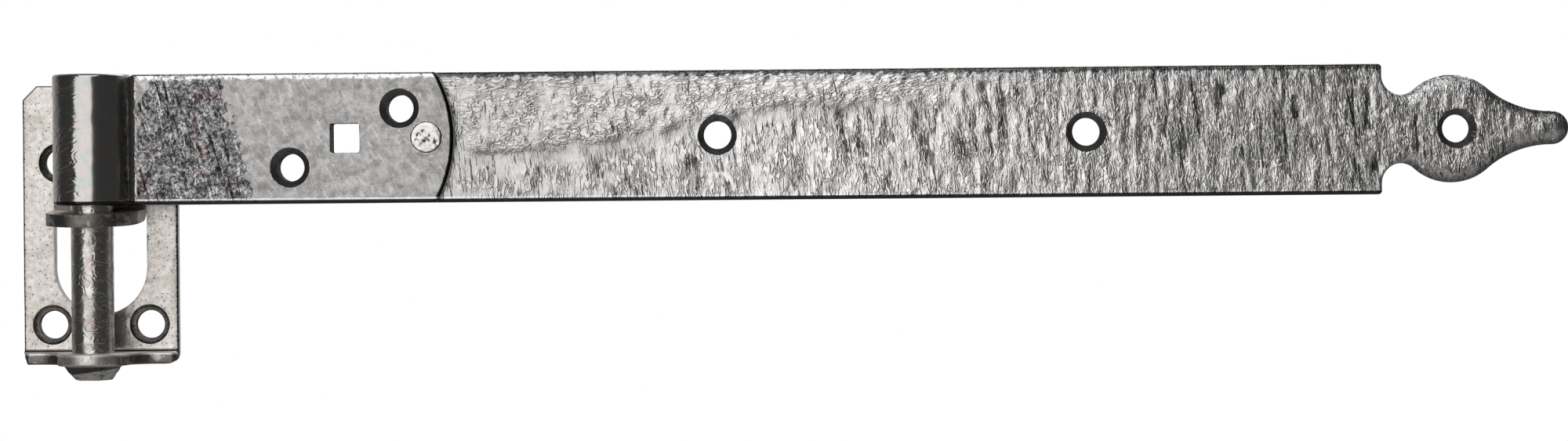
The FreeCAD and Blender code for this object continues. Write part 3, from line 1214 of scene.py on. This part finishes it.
def mottled(pale, deep, patch, grain, polish, dull):
    inputs = {"Pale": pale, "Deep": deep, "Patch Size": patch * MM}
    inputs |= {"Grain": grain, "Polish": polish, "Dull": dull}
    return node("Group", inputs, node_tree=mottled_zinc).outputs


def streaked(width, length, lean, share):
    inputs = {"Width": width * MM, "Length": length * MM, "Lean": lean, "Share": share}
    return node("Group", inputs, node_tree=drawn_streaks).outputs["Mask"]


def wrinkled(width, length, lean):
    inputs = {"Width": width * MM, "Length": length * MM, "Lean": lean}
    return node("Group", inputs, node_tree=wrinkled_skin).outputs


def bare_metal(material, glance=1.0):
    """Makes a material metal. A low glance dims what it mirrors at its edges."""
    material.use_nodes = True
    inputs = material.node_tree.nodes["Principled BSDF"].inputs
    inputs["Metallic"].default_value = 1.0
    inputs["Specular Tint"].default_value = grey(glance)
    return material.node_tree


def places():
    """Object coordinates, whole and split into X, Y and Z."""
    whole = node("TexCoord").outputs["Object"]
    return whole, *node("SeparateXYZ", {0: whole}).outputs


def finish(colour, rough, height):
    """Wires colour, roughness and a height in millimetres into the shader."""
    raised = node("Bump", {"Height": height, "Strength": 1.0, "Distance": MM}).outputs["Normal"]
    shader = tree.nodes["Principled BSDF"]
    wire(shader.inputs, {"Base Color": colour, "Roughness": rough, "Normal": raised})
    print(tree.nodes.id_data.name, len(tree.nodes), "nodes")


# %% [markdown]
# The plate is the palest piece, a warm satin grey with fine mottling and dark pits. Its sheared sides are
# frayed and dark, partly darker zinc and partly painted shade along their edges. The lip is duller, with a
# painted highlight on its nose and a painted shadow in its inner bend, and beside the foot of the pin a
# smoother spot is darkened as a painted reflection of the dark pin.

# %% Finish of the plate
tree = bare_metal(plate_zinc)
spot, x, y, z = places()
skin = mottled(grey(0.85, 0.05), grey(0.65, 0.06), patch=2.0, grain=0.7, polish=0.34, dull=0.46)
cloudy = speckle(spot, 9 * MM, 3.0)
fray = speckle(spot, 0.9 * MM, 3.0)
pit = rescale(speckle(spot, 0.8 * MM, 1.0), 0.66, 0.73)
side = calc("ABSOLUTE", x)
frayed_side = zone(plus(side, times(fray, 2.2 * MM)), 24.5, 24.8)
# A smoother spot beside the foot of the pin, darkened as a painted reflection of the dark pin.
pin_reflection_x = calc("DIVIDE", minus(x, 8 * MM), 8 * MM)
pin_reflection_z = calc("DIVIDE", minus(z, -26.5 * MM), 7 * MM)
pin_reflection_spot = rescale(plus(away(pin_reflection_x, pin_reflection_z), times(fray, 0.3)), 1.25, 0.75)
facing_out = zone(y, -3.0, -3.5)
forward = zone(y, -5.5, -7)
bend_glint = times(forward, zone(z, -34.4, -34.0), zone(z, -32.0, -32.6))
# A painted shadow in the inner corner where the lip bends out of the plate.
bend_shadow = times(without(forward), zone(z, -32.7, -33.0), facing_out)
# The nose of the lip keeps the paler plate colour: a painted highlight.
nose_highlight = times(zone(z, -33.0, -33.6), zone(side, 9.5, 7.5))
lip_streaks = times(streaked(3.0, 3.5, lean=0.5, share=0.55), 0.7)
sheared_colour = tint(lip_streaks, grey(0.2, 0.08), grey(0.62, 0.04))
sheared_colour = tint(nose_highlight, sheared_colour, skin["Color"])
colour = coat(
    skin["Color"],
    (shade, rescale(cloudy, 0.6, 0.35), grey(0.82, 0.02)),
    (shade, pit, grey(0.45)),
    (shade, pin_reflection_spot, grey(0.5)),
    (tint, kept("sheared_wall"), sheared_colour),
    # Painted shade along the frayed side edges, partly darker zinc on the sheared walls.
    (shade, times(frayed_side, facing_out), grey(0.15)),
    (tint, bend_glint, grey(0.97, 0.02)),
    (shade, bend_shadow, grey(0.1)),
)
rough = blend(bend_glint, blend(pin_reflection_spot, skin["Roughness"], 0.25), 0.55)
finish(colour, rough, plus(times(skin["Height"], 0.08), times(pit, -0.06)))

# %% [markdown]
# Punched and countersunk walls are painted dark, as painted shade in the holes, with rings left by the tool.
# The screw holes of the plate are brighter, with painted shade in them: a lighter ring lies between a dark
# mouth and a dark inner edge.

# %% Finish of the holes
ring_pitch = 0.6


def tool_rings(off_axis):
    """Rings round a hole from 0 to 1, from the distance to its axis in millimetres."""
    return plus(0.5, times(calc("SINE", times(off_axis, 2 * pi / ring_pitch)), 0.5))


tree = bare_metal(shaded_hole_zinc, glance=0.25)
# The dark grey of these walls is painted shade in the holes, and the low glance dims their edges.
skin = mottled(grey(0.34, 0.02), grey(0.16, 0.02), patch=1.6, grain=0.5, polish=0.3, dull=0.45)
rings = tool_rings(kept("from_hole"))
colour = shade(times(rings, 0.5), skin["Color"], grey(0.6))
finish(colour, skin["Roughness"], plus(times(skin["Height"], 0.1), times(rings, 0.02)))

tree = bare_metal(shaded_screw_zinc, glance=0.5)
# Painted shade in the countersinks of the plate: darker than the plate, darkest at the mouth and the bore.
skin = mottled(grey(0.7, 0.04), grey(0.2, 0.04), patch=2.2, grain=0.6, polish=0.16, dull=0.3)
off = kept("from_hole")
rings = tool_rings(off)
colour = coat(
    skin["Color"],
    (shade, times(rings, 0.5), grey(0.6)),
    (tint, times(rescale(off, 5.3, 4.95), 0.5), grey(0.85, 0.03)),
    (shade, rescale(off, 5.45, 5.75), grey(0.35)),
    (shade, rescale(off, 4.75, 4.5), grey(0.4)),
)
finish(colour, skin["Roughness"], plus(times(skin["Height"], 0.15), times(rings, 0.02)))

# %% [markdown]
# The pin is brighter and smoother, but blotched where the bath ran off it, with a faint rosy and green bloom.
# Its head is struck bright, partly as a painted highlight, with a painted shadow as a dark band under its
# rim.

# %% Finish of the pin
rosy = (0.98, 0.92, 0.9, 1)
greenish = (0.94, 1.0, 0.96, 1)
tree = bare_metal(new_material(pin, "pin_zinc"))
spot, x, y, z = places()
skin = mottled(grey(0.82, 0.03), grey(0.42, 0.06), patch=3.2, grain=0.6, polish=0.16, dull=0.34)
bloom = rescale(speckle(spot, 5 * MM, 2.0, 1.0), 0.42, 0.62)
beaten = zone(z, -37.0, -37.6)
slanted = minus(z, times(x, 0.14))
colour = coat(
    skin["Color"],
    (shade, 1.0, tint(bloom, rosy, greenish)),
    # The head is lightened, partly as a painted highlight on its struck facets.
    (tint, times(beaten, 0.35), grey(0.95, 0.02)),
    # A painted shadow: the dark band at the top of the head, under the lip.
    (shade, times(beaten, zone(slanted, -39.3, -38.8)), grey(0.12, 0.04)),
    (shade, times(beaten, streaked(1.6, 5.0, lean=1.1, share=0.5)), grey(0.35, 0.05)),
)
ripple = wrinkled(3.5, 2.6, lean=0.0)["Height"]
height = plus(times(skin["Height"], 0.08), times(ripple, 0.055))
finish(colour, blend(beaten, skin["Roughness"], 0.22), height)

# %% [markdown]
# The rivet is the shiniest piece, because the hammer polished it. A dark ring marks its edge.

# %% Finish of the rivet
tree = bare_metal(new_material(rivet, "rivet_zinc"))
spot, x, y, z = places()
skin = mottled(grey(0.85, 0.015), grey(0.55, 0.02), patch=1.6, grain=0.5, polish=0.14, dull=0.28)
off = away(minus(x, rivet_x), minus(z, middle_z))
ring = rescale(off, rivet_head - 0.45 * MM, rivet_head - 0.15 * MM)
finish(shade(ring, skin["Color"], grey(0.25)), skin["Roughness"], times(skin["Height"], 0.05))

# %% [markdown]
# The band has one zinc skin, but it changes along its length: polished on the rolled eye, scaly at the root
# of the flap where it was heated most, leathery on the strap, and dark and grainy at the point. The masks
# come from the object coordinates and from the relief kept on the mesh. A fine noise frays their borders.

# %% Finish of the band: where each skin lies
tree = bare_metal(band_zinc)
spot, x, y, z = places()
fray = minus(speckle(spot, 2.0 * MM, 4.0), 0.5)


def frayed(value, reach):
    """Moves a place to and fro by up to about half the reach, in millimetres."""
    return plus(value, times(fray, reach * MM))


rolled = zone(x, 14, 12)
on_flap_skin = times(rescale(kept("laid"), 0.4, 0.6), without(rolled))
across = minus(z, middle_z)
arc = calc("SQRT", minus(flap_end_radius ** 2, times(across, across)))
end_gap = minus(plus(flap_length - flap_end_radius, arc), frayed(x, 0.6))
flap_rim = rescale(y, flap_front + 1.5 * MM, flap_front + 0.9 * MM)
# A painted shadow line along the front rim of the flap's end.
flap_end_shadow = times(on_flap_skin, zone(end_gap, 1.25, 0.95), flap_rim)
root_line = plus(frayed(x, 13), times(minus(z, 33 * MM), 0.288))
corner_line = plus(38.2 * MM, times(minus(frayed(x, 5), 11.5 * MM), 1.65))
root = times(on_flap_skin, zone(root_line, 43.6, 42.4), zone(minus(z, corner_line), 1.0, -0.5))
pointed = zone(x, 230, 430)
top_wall = zone(z, 51.62, 51.74)
bottom_wall = zone(z, 11.98, 11.86)
# Painted shade along the top and bottom rims of the bar, partly dark zinc on the edges.
top_rim_shade = times(zone(frayed(z, 4), 49.9, 50.5), without(times(top_wall, 0.7)))
bottom_rim_shade = times(zone(z, 13.1, 12.95), without(times(bottom_wall, 0.7)))
bottom_glint = zone(frayed(z, 0.6), 13.7, 13.4)

# %% [markdown]
# On the strap, winding creases and rounded skin lie under dark upright strokes, which gather in clouds and
# grow denser towards the point. The creases are darkened, partly as painted shade, and painted shade also
# lies in the sunken relief and in the soft hollow below the ledge. The rim of the point has a painted
# highlight on its upper left and painted shade on the other side.

# %% Finish of the band: the strap
strap_skin = mottled(grey(0.98, 0.02), grey(0.8, 0.02), patch=2.4, grain=0.5, polish=0.2, dull=0.3)
leather_skin = wrinkled(2.0, 1.3, lean=0.1)
upright_skin = wrinkled(1.2, 4.0, lean=0.06)
ripples = wrinkled(3.4, 1.2, lean=0.12)
leathery = kept("skin")
ledge = kept("hollow")
fallen = kept("pillow")
hollow = rescale(kept("relief"), 0.05, -0.5)
top_band = times(zone(frayed(z, 2.5), 44, 47), zone(x, 320, 250))


def worked_skin(name):
    """Upright creases, with leather above the ledge and ripples along the top edge."""
    return blend(top_band, blend(leathery, upright_skin[name], leather_skin[name]), ripples[name])


clouding = speckle(drawn_place(5 * MM, 13 * MM, 0.1), 1.0, 4.0, 0.8)
clouded = times(blend(pointed, 0.1, 0.65), rescale(x, 390 * MM, 402 * MM, 1.0, 0.4))
gathered = rescale(speckle(spot, 9 * MM, 3.0, 0.5), 0.36, 0.6, 0.25, 1.0)
strokes = speckle(drawn_place(0.75 * MM, 8.0 * MM, 0.1), 1.0, 2.0, 0.5)
density = plus(strokes, times(kept("seam"), 0.19), times(pointed, 0.03), times(minus(clouding, 0.5), 0.3))
stroke = rescale(density, 0.66, 0.71)
calm = times(gathered, without(times(ledge, 0.7)))
lit_side = zone(plus(across, times(minus(bulb_x, x), 0.6)), 2, 9)
strap_colour = coat(
    strap_skin["Color"],
    # Darker creases: partly dark zinc in them and partly painted shade.
    (shade, times(worked_skin("Crease"), calm, blend(pointed, 0.8, 0.9)), grey(0.35)),
    (shade, times(rescale(clouding, 0.42, 0.62), clouded), grey(0.55)),
    (shade, times(stroke, blend(pointed, 0.85, 0.95)), grey(0.12)),
    # A painted shadow in the soft hollow below the ledge.
    (shade, times(ledge, gathered, 0.6), grey(0.6)),
    # Painted shade where the relief sinks in.
    (shade, times(hollow, 0.45), grey(0.4)),
    (shade, zone(x, 230, 115), grey(0.74)),
    # A painted highlight on the upper left rim of the point, and painted shade on the rest of its rim.
    (tint, times(rescale(fallen, 0.12, 0.5), lit_side), grey(1.0)),
    (shade, times(rescale(fallen, 0.25, 0.8), without(lit_side)), grey(0.4)),
)
strap_rough = blend(pointed, strap_skin["Roughness"], 0.3)
strap_height = plus(
    times(worked_skin("Height"), calm, blend(pointed, 0.1, 0.13)),
    times(strap_skin["Height"], blend(pointed, 0.1, 0.25)),
    times(stroke, -0.06),
)

# %% [markdown]
# The flap is a calm grey with smears and fine pits. Its root beside the eye is dark scale with bright and
# dark scratches and a breath of rust, its top edge has a painted highlight, and its end a painted shadow
# line.

# %% Finish of the band: the flap
rusty = (0.85, 0.62, 0.64, 1)
flap_skin = mottled(grey(0.5, 0.02), grey(0.29, 0.02), patch=2.4, grain=0.9, polish=0.24, dull=0.36)
scratches = streaked(1.3, 13.0, lean=0.28, share=0.4)
bright_scratches = streaked(0.9, 6.0, lean=0.3, share=0.34)
smears = streaked(1.4, 7.0, lean=0.6, share=0.4)
scaly = wrinkled(1.5, 2.0, lean=0.5)
scale_grain = speckle(spot, 1.2 * MM, 2.0, 0.8)
scale_patch = speckle(spot, 5 * MM, 3.0)
flap_pit = rescale(speckle(spot, 0.9 * MM, 1.0), 0.66, 0.74)
rust = rescale(speckle(spot, 9 * MM, 3.0, 0.5), 0.5, 0.66)
# A painted highlight along the top edge of the flap, broken by the grain.
flap_top_glint = times(zone(frayed(z, 2.5), 49.7, 50.5), without(top_wall))
flap_top_glint_colour = tint(rescale(scale_grain, 0.36, 0.46), grey(0.35), grey(0.95))
root_colour = coat(
    tint(rescale(scale_grain, 0.38, 0.62), grey(0.12), grey(0.62)),
    (shade, rescale(scale_patch, 0.62, 0.38), grey(0.5)),
    (shade, times(scaly["Crease"], 0.7), grey(0.3)),
    (shade, times(rust, 0.7), rusty),
    (tint, times(bright_scratches, 0.7), grey(0.9)),
    (shade, scratches, grey(0.12)),
)
flap_colour = coat(
    flap_skin["Color"],
    (shade, rescale(scale_patch, 0.55, 0.35), grey(0.8)),
    (tint, times(smears, 0.35), grey(0.85)),
    (shade, times(flap_pit, 0.7), grey(0.4)),
    (tint, times(bright_scratches, 0.3), grey(0.9)),
    (tint, root, root_colour),
    (tint, flap_top_glint, flap_top_glint_colour),
    (shade, flap_end_shadow, grey(0.06)),
)
flap_rough = blend(root, flap_skin["Roughness"], 0.28)
root_height = plus(times(scale_grain, 0.18), times(scratches, -0.1), times(scaly["Height"], 0.06))
flap_height = plus(times(flap_skin["Height"], 0.07), times(root, root_height))

# %% [markdown]
# The eye is polished, with a rosy and a green bloom and wrinkles on its left side. It is blended with the
# strap and the flap, and the rims of the bar come on top: painted shade along the top and bottom rims, partly
# dark zinc, and a painted glint just above the bottom rim.

# %% Finish of the band: the eye, and all together
eye_rosy = (0.7, 0.63, 0.61, 1)
eye_green = (0.6, 0.63, 0.6, 1)
eye_bloom = rescale(speckle(spot, 7 * MM, 2.0, 1.5), 0.4, 0.62)
eye_colour = shade(times(scale_grain, 0.5), tint(eye_bloom, eye_rosy, eye_green), grey(0.6))
wrinkle_depth = rescale(x, 2 * MM, -4 * MM, 0.0, 0.08)
eye_height = times(wrinkled(7.0, 3.2, lean=0.35)["Height"], wrinkle_depth)
colour = coat(
    strap_colour,
    (tint, on_flap_skin, flap_colour),
    (tint, rolled, eye_colour),
    (shade, times(top_rim_shade, without(on_flap_skin), without(rolled)), grey(0.2)),
    (tint, times(bottom_glint, minus(0.7, rolled)), grey(0.95)),
    (shade, bottom_rim_shade, grey(0.08)),
)
rough = blend(rolled, blend(on_flap_skin, strap_rough, flap_rough), 0.17)
finish(colour, rough, blend(rolled, blend(on_flap_skin, strap_height, flap_height), eye_height))

# %% [markdown]
# ## Studio
# The hinge hangs in a bright studio before a pure white ground, with no shadow on it. Zinc shows what it
# mirrors, so the light is one large soft box at the front left, weaker ones above and behind, and a dim grey
# room. The room is white only for the camera. The pale floor lies well below, out of the photograph's frame,
# and glows a little for the camera only.

# %% Floor
floor_level = -0.8
floor_radius = 6.0
floor_glow = 0.45

deselect()
bpy.ops.mesh.primitive_circle_add(
    vertices=96,
    radius=floor_radius,
    fill_type="NGON",
    location=(0.2, 0, floor_level),
)
floor = bpy.context.object
floor.name = "studio_floor"
paper = new_material(floor, "floor_paper")
paper.use_nodes = True
tree = paper.node_tree
paper_inputs = tree.nodes["Principled BSDF"].inputs
paper_inputs["Base Color"].default_value = grey(0.6)
paper_inputs["Roughness"].default_value = 0.8
paper_inputs["Emission Color"].default_value = grey(1.0)
seen = node("LightPath").outputs["Is Camera Ray"]
wire(paper_inputs, {"Emission Strength": times(seen, floor_glow)})

# %% Soft boxes and room
aim = Vector((0.2, 0, 0.02))


def soft_box(name, azimuth, elevation, distance, width, height, watts):
    """An area light that faces the hinge. Azimuth 0 is at the camera, and positive is to its right."""
    light = bpy.data.lights.new(name, "AREA")
    light.shape = "RECTANGLE"
    light.size = width
    light.size_y = height
    light.energy = watts
    lamp = linked(name, light)
    turn = radians(azimuth)
    rise = radians(elevation)
    way = Vector((sin(turn) * cos(rise), -cos(turn) * cos(rise), sin(rise)))
    lamp.location = aim + way * distance
    lamp.rotation_euler = (-way).to_track_quat("-Z", "Y").to_euler()
    lamp.visible_camera = False


soft_box("key_box", azimuth=-19.3, elevation=6, distance=1.6, width=1.48, height=1.4, watts=7.2)
soft_box("top_box", azimuth=-6, elevation=43, distance=1.8, width=1.6, height=1.2, watts=6.4)
soft_box("back_box", azimuth=160, elevation=50, distance=2.2, width=1.6, height=1.2, watts=8)

world = bpy.data.worlds.new("studio_room")
bpy.context.scene.world = world
world.use_nodes = True
tree = world.node_tree
tree.nodes.clear()
seen = node("LightPath").outputs["Is Camera Ray"]
way = node("SeparateXYZ", {0: node("TexCoord").outputs["Generated"]}).outputs
room_light = rescale(way["Y"], 0.0, 0.9, 0.045, 0.45)
room = node("Background", {"Color": room_light, "Strength": 1.0})
ground = node("Background", {"Color": grey(1.0), "Strength": 1.0})
both = node("MixShader", {0: seen, 1: room.outputs[0], 2: ground.outputs[0]})
node("OutputWorld", {"Surface": both.outputs[0]})
bpy.context.scene.view_settings.view_transform = "Standard"

# %% [markdown]
# The camera stands in front, level with the middle of the plate, and looks almost straight on. Its place,
# turn and lens were fitted to the holes and edges of the photograph.

# %% Camera
camera_place = Vector((231.3, -1200.0, 10.0)) * MM
camera_yaw = radians(-0.966)
camera_pitch = radians(-0.222)
camera_roll = radians(-0.498)

lens = bpy.data.cameras.new("photo_camera")
lens.sensor_fit = "HORIZONTAL"
lens.sensor_width = 36
lens.lens = 89.2
lens.clip_start = 0.01
camera = linked("photo_camera", lens)
facing = Matrix.Rotation(-camera_yaw, 4, "Z") @ Matrix.Rotation(pi / 2 + camera_pitch, 4, "X")
camera.matrix_world = Matrix.Translation(camera_place) @ facing @ Matrix.Rotation(camera_roll, 4, "Z")
bpy.context.scene.camera = camera
